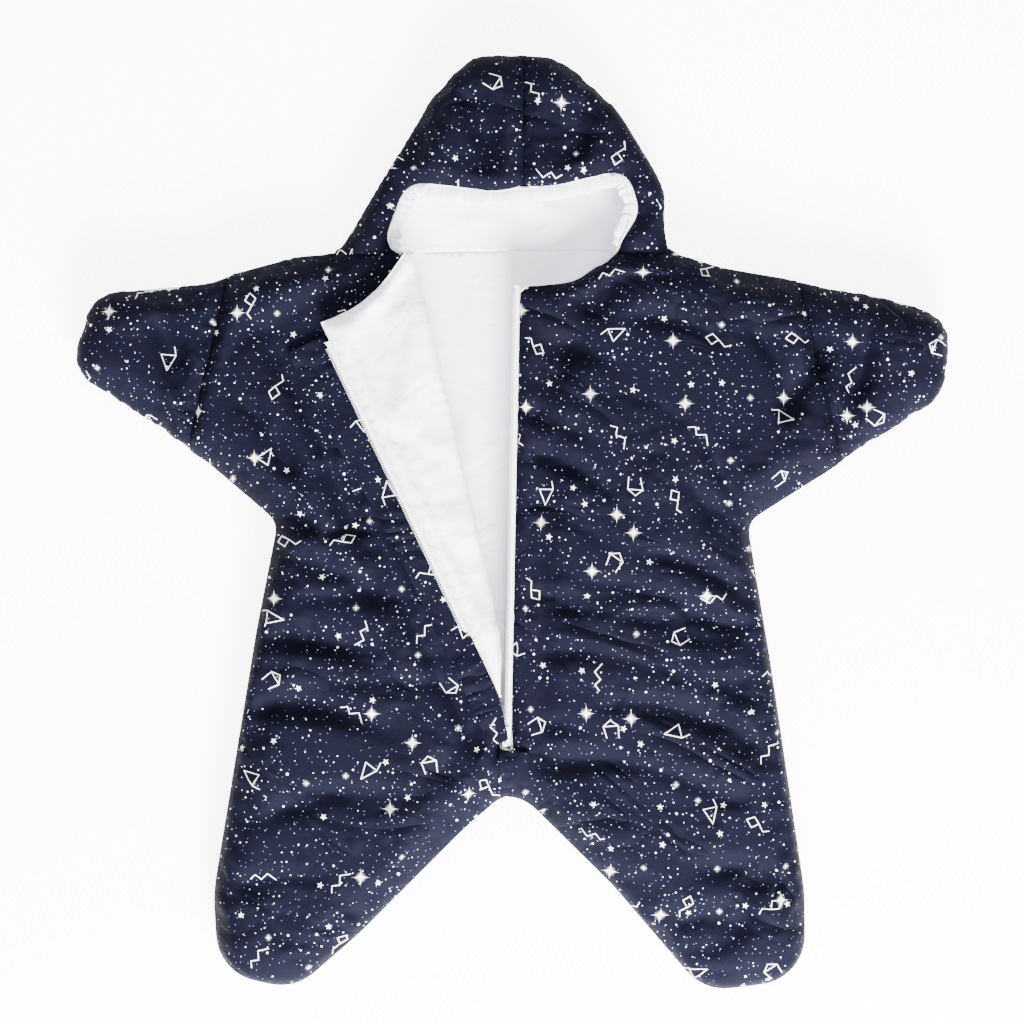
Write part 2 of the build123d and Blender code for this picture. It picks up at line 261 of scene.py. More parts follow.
def startShape(outer):
    reach = layers["rimReach"] if outer else .022
    high = layers["top"] + .003 if outer else layers["linedTop"]
    low = -.003 if outer else layers["linedBase"]
    edgeHigh = layers["edgeTop"] if outer else layers["edgeUnder"]
    mid = layers["rimHeight"]
    rise = bulge(rimDistance, reach)
    xy = flat.copy()
    if not outer:
        inward = flat - rimNearest
        lengths = np.linalg.norm(inward, axis=1)
        loopNext, loopBefore = np.roll(rimLoop, -1, 0), np.roll(rimLoop, 1, 0)
        along = loopNext - loopBefore
        normals = np.stack([along[:, 1], -along[:, 0]], 1) / np.linalg.norm(along, axis=1)[:, None]
        gaps = np.linalg.norm(flat[:, None, :] - rimLoop[None, ::1, :], axis=2).argmin(1)
        rimNormal = normals[gaps]
        away = np.where(lengths[:, None] > 1e-5, inward / np.maximum(lengths, 1e-9)[:, None], rimNormal)
        xy = flat + away * (layers["liningInset"] * (1 - smooth(rimDistance / .05)))[:, None]
    top = mid + (high - mid) * rise
    base = mid + (low - mid) * rise
    edgeRise = bulge(edgeDistance, layers["edgeReach"])
    top = edgeHigh + (top - edgeHigh) * edgeRise
    seamDepth = .007 if outer else .001
    base -= 0 if outer else .001 * np.cos(flat[:, 0] * 60 + flat[:, 1] * 25)
    top -= seamDepth * np.exp(-(seamDistance / .008) ** 2) * rise
    base += seamDepth * .6 * np.exp(-(seamDistance / .008) ** 2) * rise
    hoodDepth = .005 if outer else 0
    top -= hoodDepth * np.exp(-(hoodSeamDistance / .007) ** 2) * rise
    base += hoodDepth * .6 * np.exp(-(hoodSeamDistance / .007) ** 2) * rise
    top -= (.004 if outer else 0) * np.exp(-(crotchDistance / .007) ** 2) * rise
    pinnedTop = onRim | (edgeDistance < 1e-4) | (seamDistance < 1e-4) | (hoodSeamDistance < 1e-4)
    pinnedTop |= crotchDistance < 1e-4
    pinnedBase = onRim | (outer & ((seamDistance < 1e-4) | (hoodSeamDistance < 1e-4)))
    shape = np.zeros((2 * count, 3))
    shape[:count, :2] = xy
    shape[count:, :2] = xy
    shape[:count, 2] = top
    shape[count:, 2] = base
    return shape, np.concatenate([pinnedTop, pinnedBase])


def newMesh(name, points, faces):
    mesh = bpy.data.meshes.new(name)
    mesh.from_pydata([tuple(p) for p in points], [], [tuple(int(i) for i in f) for f in faces])
    mesh.update()
    obj = bpy.data.objects.new(name, mesh)
    bpy.context.scene.collection.objects.link(obj)
    return obj


def simulateCloth(name, shape, pinned, growth, pressure):
    used = np.unique(np.concatenate([frontFaces.ravel(), backFaces.ravel()]))
    renumber = np.full(2 * count, -1)
    renumber[used] = np.arange(len(used))
    obj = newMesh(name, shape[used], renumber[np.vstack([frontFaces, backFaces])])
    group = obj.vertex_groups.new(name="pin")
    group.add([int(i) for i in np.nonzero(pinned[used])[0]], 1.0, "REPLACE")
    modifier = obj.modifiers.new("cloth", "CLOTH")
    cloth = modifier.settings
    cloth.quality = 5
    cloth.mass = .12
    cloth.air_damping = 3
    cloth.tension_stiffness = cloth.compression_stiffness = clothSettings["stiffness"]
    cloth.shear_stiffness = clothSettings["stiffness"] * .5
    cloth.bending_stiffness = clothSettings["bending"]
    cloth.use_pressure = True
    cloth.uniform_pressure_force = pressure
    cloth.shrink_min = growth
    cloth.vertex_group_mass = "pin"
    cloth.effector_weights.gravity = 0
    modifier.collision_settings.use_collision = False
    modifier.point_cache.frame_end = clothSettings["frames"]
    for at in range(1, clothSettings["frames"] + 1):
        bpy.context.scene.frame_set(at)
    made = obj.evaluated_get(bpy.context.evaluated_depsgraph_get()).to_mesh()
    moved = np.zeros(len(made.vertices) * 3)
    made.vertices.foreach_get("co", moved)
    out = shape.copy()
    out[used] = moved.reshape(-1, 3)
    bpy.data.objects.remove(obj)
    bpy.context.scene.frame_set(1)
    change = out - shape
    far = np.linalg.norm(change, axis=1)
    limit = clothSettings["limit"]
    scale = np.where(far > 1e-9, limit * np.tanh(far / limit) / np.maximum(far, 1e-9), 1)
    return shape + change * scale[:, None]


outerStart, outerPins = startShape(True)
liningStart, liningPins = startShape(False)
outer = simulateCloth("outerCloth", outerStart, outerPins, clothSettings["growth"],
                      clothSettings["pressure"])
lining = simulateCloth("liningCloth", liningStart, liningPins, clothSettings["liningGrowth"], .2)
print("cloth settled", round(float(outer[:, 2].max()), 4))


# Folds that the quilted front keeps: start, end, half width, depth, bend
foldLines = [
    ((.118, .104), (.190, .020), .010, .0105, .06), ((.075, .085), (.165, .012), .009, .0070, .08),
    ((.105, .172), (.182, .150), .012, .0095, .10), ((.150, .216), (.168, .176), .008, .0060, .05),
    ((.012, .095), (.070, .060), .008, .0080, .08), ((.012, .060), (.105, .000), .009, .0095, .10),
    ((.010, .020), (.085, -.028), .009, .0080, .08), ((.105, -.030), (.200, -.066), .010, .0095, .10),
    ((.060, -.050), (.190, -.094), .009, .0070, .08), ((.020, -.110), (.150, -.135), .010, .0070, .06),
    ((.070, -.155), (.215, -.196), .011, .0085, .08), ((.040, -.200), (.190, -.236), .010, .0075, .06),
    ((.018, -.170), (.090, -.190), .008, .0065, .05), ((.150, -.290), (.238, -.310), .010, .0060, .06),
    ((.030, .150), (.100, .120), .010, .0060, .10), ((.016, -.060), (.060, -.080), .008, .0060, .05),
    ((.200, .175), (.235, .080), .010, .0060, .08), ((.120, -.350), (.230, -.345), .010, .0045, .08),
    ((-.203, .152), (-.116, -.028), .012, .0150, .00), ((-.112, -.030), (-.034, -.182), .009, .0100, .00),
    ((-.225, .100), (-.185, .035), .010, .0085, .06), ((-.150, .010), (-.112, -.070), .009, .0070, .05),
    ((-.205, .010), (-.150, -.020), .010, .0085, .08), ((-.198, -.030), (-.120, -.060), .010, .0080, .08),
    ((-.300, .170), (-.275, .090), .009, .0085, .05), ((-.225, -.100), (-.120, -.115), .011, .0070, .08),
    ((-.235, -.160), (-.100, -.180), .011, .0080, .08), ((-.210, -.250), (-.090, -.232), .012, .0075, .08),
    ((-.235, -.310), (-.160, -.300), .010, .0055, .06), ((-.060, -.205), (-.030, -.245), .008, .0060, .00),
    ((.300, .170), (.285, .085), .009, .0085, .05), ((.262, .150), (.225, .090), .010, .0080, .06),
    ((-.040, .372), (-.020, .310), .010, .0055, .08), ((.060, .355), (.050, .305), .010, .0055, .08),
    ((.100, .330), (.118, .260), .009, .0060, .05), ((-.085, .335), (-.105, .262), .009, .0060, .05),
]
foldStrength = 1.35
# Folds of the open flap's lining, as it lies
flapFolds = [
    ((-.090, .160), (-.050, .020), .007, .0032, .00), ((-.118, .078), (-.060, .046), .006, .0028, .06),
    ((-.130, .190), (-.100, .120), .008, .0030, .04), ((-.100, .000), (-.040, -.030), .006, .0020, .06),
    ((-.062, -.040), (-.022, -.130), .006, .0020, .00), ((-.110, .200), (-.080, .215), .006, .0025, .04),
]
# Soft folds of the lining inside
liningFolds = [
    ((-.030, .215), (-.020, .030), .012, .0045, .04), ((-.060, .230), (-.050, .080), .012, .0040, .04),
    ((.060, .262), (.020, .190), .012, .0045, .10), ((-.060, .270), (.020, .255), .010, .0035, .10),
    ((-.016, .110), (-.010, -.060), .009, .0035, .02), ((.030, .278), (.085, .262), .010, .0035, .08),
    ((-.090, .275), (-.070, .235), .010, .0040, .06),
]


def pressFolds(points, lines):
    drop = np.zeros(len(points))
    for start, end, width, depth, bend in lines:
        a, b = np.array(start), np.array(end)
        ab = b - a
        length = np.linalg.norm(ab)
        t = ((points - a) @ ab) / length ** 2
        across = ((points - a) @ np.array([-ab[1], ab[0]])) / length
        across = across - bend * length * np.sin(np.clip(t, 0, 1) * math.pi)
        ends = smooth((t + .25) / .45) * smooth((1.25 - t) / .45)
        valley = np.exp(-(across / width) ** 2) - .45 * np.exp(-((across - 1.9 * width) / (1.2 * width)) ** 2)
        drop += depth * valley * ends
    return drop


# Evens out heights between neighbours, away from the rim
def relax(heights, rounds):
    for _ in range(rounds):
        total, ties = np.zeros(count), np.zeros(count)
        for a, b in ((0, 1), (1, 2), (2, 0), (1, 0), (2, 1), (0, 2)):
            np.add.at(total, triangles[:, a], heights[triangles[:, b]])
            np.add.at(ties, triangles[:, a], 1)
        heights = np.where(onRim, heights, total / np.maximum(ties, 1))
    return heights


def softCap(z, cap, blend=.0012):
    return cap - blend * np.log1p(np.exp(np.clip((cap - z) / blend, -40, 40)))


def openOut(points):
    turned = points.copy()
    offset = (points[:, :2] - apex) @ foldRight
    turned[:, :2] -= 2 * offset[:, None] * foldRight
    turned[:, 2] = 2 * layers["foldAxis"] - points[:, 2]
    return turned


# The front goes flat where the open flap and the placket lie on it
flapPlan = np.array([zipPoint(0, 0), zipPoint(zipLength + .01, -.030), zipPoint(zipLength + .03, .1),
                     bagCut["foldTop"]])
offsets = (flapPlan - apex) @ foldRight
flapPlan = flapPlan - 2 * offsets[:, None] * foldRight
underFlap = np.where(inside(flat, flapPlan), 1.0, 1 - smooth(distanceTo(flat, flapPlan, True)[0] / .022))
loose = ~onRim & (edgeDistance > 1e-4)
leftOfEdge = (flat - apex) @ zipLeft
alongZip = (flat - apex) @ zipAlong
inFlap = (foldOffset > -1e-4) & (leftOfEdge > bagCut["zipGap"] - 1e-4)
inFlap &= (flat[:, 1] < bagCut["neck"] + .001) & (alongZip > 0)
outerTop, liningTop = outer[:count], lining[:count]
foldRoom = smooth(rimDistance / .03) * smooth(edgeDistance / .016) * ~inFlap
outerTop[:, 2] -= foldStrength * pressFolds(outerTop[:, :2], foldLines) * foldRoom
nearZip = .0485 + .008 * smooth((zipDistance - .026) / .02) + .02 * (leftOfEdge > 0)
cap = np.minimum(layers["puff"], nearZip)
cap = np.where(inFlap, .0533, cap)
pressed = (underFlap > 0) & ~inFlap & (foldOffset < 1e-4) & (flat[:, 1] < bagCut["neck"] - .001)
cap = np.where(pressed, np.minimum(cap, .0468 * underFlap + layers["puff"] * (1 - underFlap)), cap)
outerTop[:, 2] = np.where(loose, softCap(outerTop[:, 2], cap), outerTop[:, 2])
outer[count:, 2] = .0006 + .5 * (outer[count:, 2] + np.sqrt(outer[count:, 2] ** 2 + .0022 ** 2))
liningTop[:, 2] = np.where(loose, np.minimum(liningTop[:, 2], layers["edgeUnder"]), liningTop[:, 2])
thin = (outerTop[:, 2] - .005 < liningTop[:, 2]) & (edgeDistance > .012) & ~onRim
liningTop[:, 2] = np.where(thin, outerTop[:, 2] - .005, liningTop[:, 2])
liningTop[:, 2] += inFlap * pressFolds(openOut(liningTop)[:, :2], flapFolds) * smooth(edgeDistance / .012)
lining[count:, 2] = relax(lining[count:, 2], 8)
lining[count:, 2] -= pressFolds(lining[count:, :2], liningFolds)
lining[count:, 2] = np.where(onRim, lining[count:, 2], np.clip(lining[count:, 2] + .0035, .0105, .0272))
# The flap's top edge is drawn in by its gathers
flapWidth = zipTop[0] - bagCut["zipGap"] - bagCut["foldTop"][0]
flapAcross = np.clip((flat[:, 0] - bagCut["foldTop"][0]) / flapWidth, 0, 1)
nearOpening = np.exp(-(distanceTo(flat, faceLoop, True)[0] / .028) ** 2)
drawnIn = .010 * np.sin(math.pi * flapAcross) * nearOpening * inFlap
outerTop[:, 1] -= drawnIn
liningTop[:, 1] -= drawnIn
patternUv = np.vstack([flat, flat * np.array([-1, 1]) + np.array([.37, .21])])
print("folds pressed")


def compact(faces):
    used = np.unique(np.concatenate([np.ravel(f) for f in faces]))
    renumber = {int(v): k for k, v in enumerate(used)}
    return used, [tuple(renumber[int(i)] for i in f) for f in faces]


def applyAll(obj):
    bpy.context.view_layer.update()
    baked = bpy.data.meshes.new_from_object(obj.evaluated_get(bpy.context.evaluated_depsgraph_get()))
    obj.modifiers.clear()
    obj.data = baked


def setUv(obj, uv):
    layer = obj.data.uv_layers.new(name="pattern")
    corners = np.zeros(len(obj.data.loops), np.int64)
    obj.data.loops.foreach_get("vertex_index", corners)
    layer.data.foreach_set("uv", uv[corners].astype(np.float32).ravel())


def dress(piece, body, node):
    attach(piece, body)
    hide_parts(node)


def clothPiece(name, points, faces, uv, finish, level=1, wall=.0008, pucker=False, crisp=False):
    used, local = compact(faces)
    obj = newMesh(name, points[used], local)
    setUv(obj, uv[used])
    for polygon in obj.data.polygons:
        polygon.use_smooth = True
    if level:
        subdivision = obj.modifiers.new("smooth", "SUBSURF")
        subdivision.levels = subdivision.render_levels = level
        subdivision.uv_smooth = "NONE"
        applyAll(obj)
    if pucker:
        addPuckers(obj)
    if wall:
        solid = obj.modifiers.new("wall", "SOLIDIFY")
        solid.thickness = wall
        solid.offset = -1
        sheetFaces = len(obj.data.polygons)
        applyAll(obj)
        for polygon in obj.data.polygons[2 * sheetFaces:]:
            polygon.use_smooth = not crisp
    obj.data.materials.clear()
    obj.data.materials.append(finish)
    return obj


puckerSettings = {"depth": .0011, "reach": .011, "spacing": .0105, "rimDepth": .0006, "rimReach": .014}
waves = np.random.default_rng(7).uniform(0, 2 * math.pi, 12)


def gather(t, spacing):
    total = np.zeros(len(t))
    for k in range(5):
        total += np.sin(2 * math.pi * t / (spacing * (.72 + .19 * k)) + waves[k]) * (1 - .12 * k)
    return total / 3.2


# Small gathers beside the sewn seams and round the rim
def addPuckers(obj):
    coordinates = np.zeros(len(obj.data.vertices) * 3)
    obj.data.vertices.foreach_get("co", coordinates)
    coordinates = coordinates.reshape(-1, 3)
    normals = np.zeros(len(obj.data.vertices) * 3)
    obj.data.vertices.foreach_get("normal", normals)
    normals = normals.reshape(-1, 3)
    plan = coordinates[:, :2]
    amount = np.zeros(len(plan))
    for line in (neckLine, rightSeam, leftSeam, hoodSeam, crotchSeam):
        distance, nearest = distanceTo(plan, line)
        run = np.linalg.norm(nearest - line[0], axis=1)
        close = smooth(distance / .003) * np.exp(-(distance / puckerSettings["reach"]) ** 2)
        amount += puckerSettings["depth"] * gather(run, puckerSettings["spacing"]) * close
    distance, nearest = distanceTo(plan, rimLoop, True)
    run = np.unwrap(np.arctan2(nearest[:, 1], nearest[:, 0])) * .38
    close = smooth(distance / .004) * np.exp(-(distance / puckerSettings["rimReach"]) ** 2)
    amount += puckerSettings["rimDepth"] * gather(run, puckerSettings["spacing"] * 1.4) * close
    amount *= smooth(distanceTo(plan, zipEdge)[0] / .02) * smooth(distanceTo(plan, flapEdge)[0] / .02)
    amount = np.where(coordinates[:, 2] < .004, 0, amount)
    obj.data.vertices.foreach_set("co", (coordinates + normals * amount[:, None]).ravel())
    obj.data.update()


def vertexNormals(points, faces):
    out = np.zeros_like(points)
    a, b, c = (points[faces[:, k]] for k in range(3))
    normal = np.cross(b - a, c - a)
    for k in range(3):
        np.add.at(out, faces[:, k], normal)
    return out / np.maximum(np.linalg.norm(out, axis=1), 1e-12)[:, None]


allFaces = np.vstack([frontFaces, backFaces])
outerNormals, liningNormals = vertexNormals(outer, allFaces), vertexNormals(lining, allFaces)
padSettings = {"underOuter": .0022, "overLining": .0016}


# Wadding that fills the space between the outer cloth and the lining of one panel
def waddingPiece(name, faces, finish, opened=False):
    skin = outer - outerNormals * padSettings["underOuter"]
    inner = lining + liningNormals * padSettings["overLining"]
    if opened:
        skin, inner = openOut(skin), openOut(inner)
    edges = set()
    for face in faces:
        edges.update((int(face[k]), int(face[(k + 1) % 3])) for k in range(3))
    walls = [(j, i, i + 2 * count, j + 2 * count) for i, j in edges if (j, i) not in edges]
    solidFaces = [tuple(int(i) for i in f) for f in faces]
    solidFaces += [tuple(int(i) + 2 * count for i in f[::-1]) for f in faces] + sorted(walls)
    used, local = compact(solidFaces)
    obj = newMesh(name, np.vstack([skin, inner])[used], local)
    for polygon in obj.data.polygons:
        polygon.use_smooth = True
    obj.data.materials.append(finish)
    return obj


def mathNode(tree, operation, a, b=0.0, c=0.0, clamp=False):
    node = tree.nodes.new("ShaderNodeMath")
    node.operation = operation
    node.use_clamp = clamp
    for socket, value in zip(node.inputs, (a, b, c)):
        if isinstance(value, bpy.types.NodeSocket):
            tree.links.new(value, socket)
        else:
            socket.default_value = value
    return node.outputs[0]


def vectorNode(tree, operation, a, b=(0, 0, 0), scale=None):
    node = tree.nodes.new("ShaderNodeVectorMath")
    node.operation = operation
    for socket, value in zip(node.inputs, (a, b)):
        if isinstance(value, bpy.types.NodeSocket):
            tree.links.new(value, socket)
        else:
            socket.default_value = value
    if scale is not None:
        if isinstance(scale, bpy.types.NodeSocket):
            tree.links.new(scale, node.inputs["Scale"])
        else:
            node.inputs["Scale"].default_value = scale
    number = operation in ("DOT_PRODUCT", "LENGTH", "DISTANCE")
    return node.outputs["Value" if number else "Vector"]


# 1 below the edge, 0 above it, with a soft step
def below(tree, value, edge, soft):
    node = tree.nodes.new("ShaderNodeMapRange")
    node.interpolation_type = "SMOOTHSTEP"
    node.inputs["To Min"].default_value = 1
    node.inputs["To Max"].default_value = 0
    tree.links.new(value, node.inputs["Value"])
    if isinstance(edge, bpy.types.NodeSocket):
        tree.links.new(mathNode(tree, "SUBTRACT", edge, soft), node.inputs["From Min"])
        tree.links.new(mathNode(tree, "ADD", edge, soft), node.inputs["From Max"])
    else:
        node.inputs["From Min"].default_value = edge - soft
        node.inputs["From Max"].default_value = edge + soft
    return node.outputs["Result"]


def scatter(tree, vector, spacing, randomness, turn=True):
    cells = tree.nodes.new("ShaderNodeTexVoronoi")
    cells.voronoi_dimensions = "2D"
    cells.inputs["Scale"].default_value = 1 / spacing
    cells.inputs["Randomness"].default_value = randomness
    tree.links.new(vector, cells.inputs["Vector"])
    split = tree.nodes.new("ShaderNodeSeparateColor")
    tree.links.new(cells.outputs["Color"], split.inputs[0])
    local = vectorNode(tree, "SUBTRACT", vector, cells.outputs["Position"])
    if turn:
        rotate = tree.nodes.new("ShaderNodeVectorRotate")
        rotate.rotation_type = "Z_AXIS"
        tree.links.new(local, rotate.inputs["Vector"])
        tree.links.new(mathNode(tree, "MULTIPLY", split.outputs[0], 2 * math.pi), rotate.inputs["Angle"])
        local = rotate.outputs[0]
    return local, vectorNode(tree, "LENGTH", local), split.outputs[0], split.outputs[1], split.outputs[2]


def newGroup(name, inputs, outputs):
    group = bpy.data.node_groups.new(name, "ShaderNodeTree")
    for label, kind, value in inputs:
        socket = group.interface.new_socket(name=label, in_out="INPUT", socket_type=kind)
        if value is not None:
            socket.default_value = value
    for label, kind in outputs:
        group.interface.new_socket(name=label, in_out="OUTPUT", socket_type=kind)
    return group, group.nodes.new("NodeGroupInput").outputs, group.nodes.new("NodeGroupOutput").inputs


# The print's line drawings: invented star patterns, each a list of strokes in millimetres
lineDrawings = [
    [[(-12, 5), (-6, -3), (2, 1), (6, -5), (12, -2)]],
    [[(-11, 4), (-4, 7), (1, 1), (-6, -3), (-11, 4)], [(1, 1), (6, -6), (12, -5)]],
    [[(-9, -6), (-1, 8), (7, -2), (-9, -6)], [(7, -2), (12, 4)]],
    [[(-6, 9), (-7, -2), (0, -8), (7, -3), (5, 8)], [(-7, -2), (7, -3)]],
]
printLook = {
    "drawingSpacing": .068, "drawingLine": .00036, "sparkleSpacing": .056, "sparkleReach": .0078,
    "starSpacing": .050, "starReach": .0028, "bigDots": .0150, "smallDots": .0086, "specks": .0062,
}


def starPrintGroup():
    group, inputs, outputs = newGroup(
        "starPrint", [("Vector", "NodeSocketVector", None), ("Dots", "NodeSocketFloat", 1.0)],
        [("White", "NodeSocketFloat"), ("Specks", "NodeSocketFloat")])
    calc, move = partial(mathNode, group), partial(vectorNode, group)
    vector = inputs["Vector"]
    local, _, _, pick, _ = scatter(group, vector, printLook["drawingSpacing"], .55)
    nearest = None
    for index, strokes in enumerate(lineDrawings):
        best = None
        for stroke in strokes:
            for a, b in zip(stroke[:-1], stroke[1:]):
                start = (a[0] * .00088, a[1] * .00088, 0)
                span = ((b[0] - a[0]) * .00088, (b[1] - a[1]) * .00088, 0)
                shifted = move("SUBTRACT", local, start)
                along = move("DOT_PRODUCT", shifted, span)
                share = calc("DIVIDE", along, span[0] ** 2 + span[1] ** 2, clamp=True)
                at = move("SCALE", span, scale=share)
                gap = move("DISTANCE", shifted, at)
                best = gap if best is None else calc("MINIMUM", best, gap)
        chosen = calc("COMPARE", calc("FLOOR", calc("MULTIPLY", pick, 3.999)), index, .1)
        best = calc("ADD", best, calc("SUBTRACT", 1.0, chosen))
        nearest = best if nearest is None else calc("MINIMUM", nearest, best)
    lines = below(group, nearest, printLook["drawingLine"], .00022)

    offset = move("ADD", vector, (.013, .031, 0))
    local, reach, _, pick, size = scatter(group, offset, printLook["sparkleSpacing"], .85, False)
    large = calc("GREATER_THAN", size, .62)
    arm = calc("ADD", .0034, calc("MULTIPLY", large, printLook["sparkleReach"] - .0034))
    parts = group.nodes.new("ShaderNodeSeparateXYZ")
    group.links.new(move("ABSOLUTE", local), parts.inputs[0])
    root = [calc("POWER", calc("DIVIDE", parts.outputs[k], arm), .44) for k in (0, 1)]
    sparkle = below(group, calc("ADD", root[0], root[1]), 1.0, .10)
    core = below(group, reach, calc("MULTIPLY", arm, .27), .0005)
    glow = calc("MULTIPLY", below(group, reach, calc("MULTIPLY", arm, .34), .0024), .30)
    sparkle = calc("MAXIMUM", calc("MAXIMUM", sparkle, core), glow)
    sparkle = calc("MULTIPLY", sparkle, calc("GREATER_THAN", pick, .22))

    offset = move("ADD", vector, (.041, .007, 0))
    local, reach, _, pick, _ = scatter(group, offset, printLook["starSpacing"], .9)
    split = group.nodes.new("ShaderNodeSeparateXYZ")
    group.links.new(local, split.inputs[0])
    angle = calc("ARCTAN2", split.outputs[1], split.outputs[0])
    sector = calc("FRACT", calc("MULTIPLY", calc("ADD", angle, 10.0), 5 / (2 * math.pi)))
    point = calc("MULTIPLY", calc("ABSOLUTE", calc("SUBTRACT", sector, .5)), 2.0)
    rim = calc("ADD", calc("MULTIPLY", calc("POWER", point, 1.6), printLook["starReach"] * .62),
                   printLook["starReach"] * .38)
    stars = calc("MULTIPLY", below(group, reach, rim, .0003), calc("GREATER_THAN", pick, .35))

    clusters = group.nodes.new("ShaderNodeTexNoise")
    clusters.noise_dimensions = "2D"
    clusters.inputs["Scale"].default_value = 26
    clusters.inputs["Detail"].default_value = 2
    group.links.new(vector, clusters.inputs["Vector"])
    crowd = calc("MULTIPLY", calc("ADD", clusters.outputs[0], -.30), 2.1)
    crowd = calc("MULTIPLY", crowd, inputs["Dots"])
    dots = None
    dotKinds = ((printLook["bigDots"], .00048, .00070, .9), (printLook["smallDots"], .00032, .00034, 1.0))
    for spacing, low, spread, share in dotKinds:
        local, reach, _, pick, size = scatter(group, vector, spacing, 1.0, False)
        radius = calc("ADD", low, calc("MULTIPLY", calc("POWER", size, 2.0), spread))
        here = calc("LESS_THAN", pick, calc("MULTIPLY", crowd, share))
        mask = calc("MULTIPLY", below(group, reach, radius, .00018), here)
        dots = mask if dots is None else calc("MAXIMUM", dots, mask)
    local, reach, _, pick, _ = scatter(group, vector, printLook["specks"], 1.0, False)
    specks = calc("MULTIPLY", below(group, reach, .00042, .00020), calc("LESS_THAN", pick, .6))
    white = calc("MAXIMUM", calc("MAXIMUM", lines, sparkle), calc("MAXIMUM", stars, dots))
    group.links.new(white, outputs["White"])
    group.links.new(specks, outputs["Specks"])
    return group


def weaveGroup():
    group, inputs, outputs = newGroup(
        "weave", [("Vector", "NodeSocketVector", None), ("Pitch", "NodeSocketFloat", .0006),
                  ("Crinkle", "NodeSocketFloat", .5), ("Folds", "NodeSocketFloat", .5)],
        [("Height", "NodeSocketFloat"), ("Tone", "NodeSocketFloat")])
    calc, move = partial(mathNode, group), partial(vectorNode, group)
    parts = group.nodes.new("ShaderNodeSeparateXYZ")
    group.links.new(inputs["Vector"], parts.inputs[0])
    threads = []
    for k in (0, 1):
        turns = calc("DIVIDE", parts.outputs[k], inputs["Pitch"])
        threads.append(calc("SINE", calc("MULTIPLY", turns, math.pi)))
    over = calc("MULTIPLY", threads[0], threads[1])
    crease = group.nodes.new("ShaderNodeTexNoise")
    crease.noise_dimensions = "2D"
    crease.inputs["Scale"].default_value = 120
    crease.inputs["Detail"].default_value = 4
    crease.inputs["Distortion"].default_value = .6
    group.links.new(inputs["Vector"], crease.inputs["Vector"])
    patch = group.nodes.new("ShaderNodeTexNoise")
    patch.noise_dimensions = "2D"
    patch.inputs["Scale"].default_value = 14
    patch.inputs["Detail"].default_value = 3
    group.links.new(inputs["Vector"], patch.inputs["Vector"])
    stretched = group.nodes.new("ShaderNodeCombineXYZ")
    slant = move("DOT_PRODUCT", inputs["Vector"], (.92, -.39, 0))
    group.links.new(calc("MULTIPLY", slant, .42), stretched.inputs[0])
    group.links.new(move("DOT_PRODUCT", inputs["Vector"], (.39, .92, 0)), stretched.inputs[1])
    fold = group.nodes.new("ShaderNodeTexNoise")
    fold.noise_dimensions = "2D"
    fold.inputs["Scale"].default_value = 21
    fold.inputs["Detail"].default_value = 1.5
    fold.inputs["Distortion"].default_value = .9
    group.links.new(stretched.outputs[0], fold.inputs["Vector"])
    valley = calc("POWER", calc("ABSOLUTE", calc("SUBTRACT", fold.outputs[0], .5)), .75)
    soft = below(group, patch.outputs[0], .46, .10)
    valley = calc("MULTIPLY", calc("MULTIPLY", valley, soft), inputs["Folds"])
    height = calc("ADD", calc("MULTIPLY", over, .00006),
                      calc("MULTIPLY", calc("MULTIPLY", crease.outputs[0], inputs["Crinkle"]), .0016))
    height = calc("ADD", height, calc("MULTIPLY", valley, .020))
    tone = calc("ADD", calc("MULTIPLY", over, .06),
                    calc("MULTIPLY", calc("SUBTRACT", patch.outputs[0], .5), .5))
    group.links.new(height, outputs["Height"])
    group.links.new(calc("ADD", tone, .5), outputs["Tone"])
    return group


def placeGroup(tree, group, vector, **values):
    node = tree.nodes.new("ShaderNodeGroup")
    node.node_tree = group
    tree.links.new(vector, node.inputs["Vector"])
    for label, value in values.items():
        node.inputs[label].default_value = value
    return node.outputs


def mixColour(tree, factor, a, b):
    node = tree.nodes.new("ShaderNodeMix")
    node.data_type = "RGBA"
    for name, value in (("Factor", factor), ("A", a), ("B", b)):
        sockets = [x for x in node.inputs if x.name == name and x.enabled]
        if isinstance(value, bpy.types.NodeSocket):
            tree.links.new(value, sockets[0])
        else:
            sockets[0].default_value = value
    return [x for x in node.outputs if x.enabled][0]


def newFinish(name):
    material = bpy.data.materials.new(name)
    material.use_nodes = True
    tree = material.node_tree
    return material, tree, tree.nodes["Principled BSDF"]


def bumpFrom(tree, shader, height, strength, distance=1.0):
    bump = tree.nodes.new("ShaderNodeBump")
    bump.inputs["Strength"].default_value = strength
    bump.inputs["Distance"].default_value = distance
    tree.links.new(height, bump.inputs["Height"])
    tree.links.new(bump.outputs[0], shader.inputs["Normal"])


clothLook = {
    "navyShade": (.0013, .0013, .0038, 1), "navyLit": (.0044, .0044, .0120, 1), "ink": (.86, .86, .84, 1),
    "speckInk": (.08, .09, .20, 1), "white": (.93, .94, .99, 1), "whiteShade": (.88, .89, .96, 1),
}
starPrint, weave = starPrintGroup(), weaveGroup()


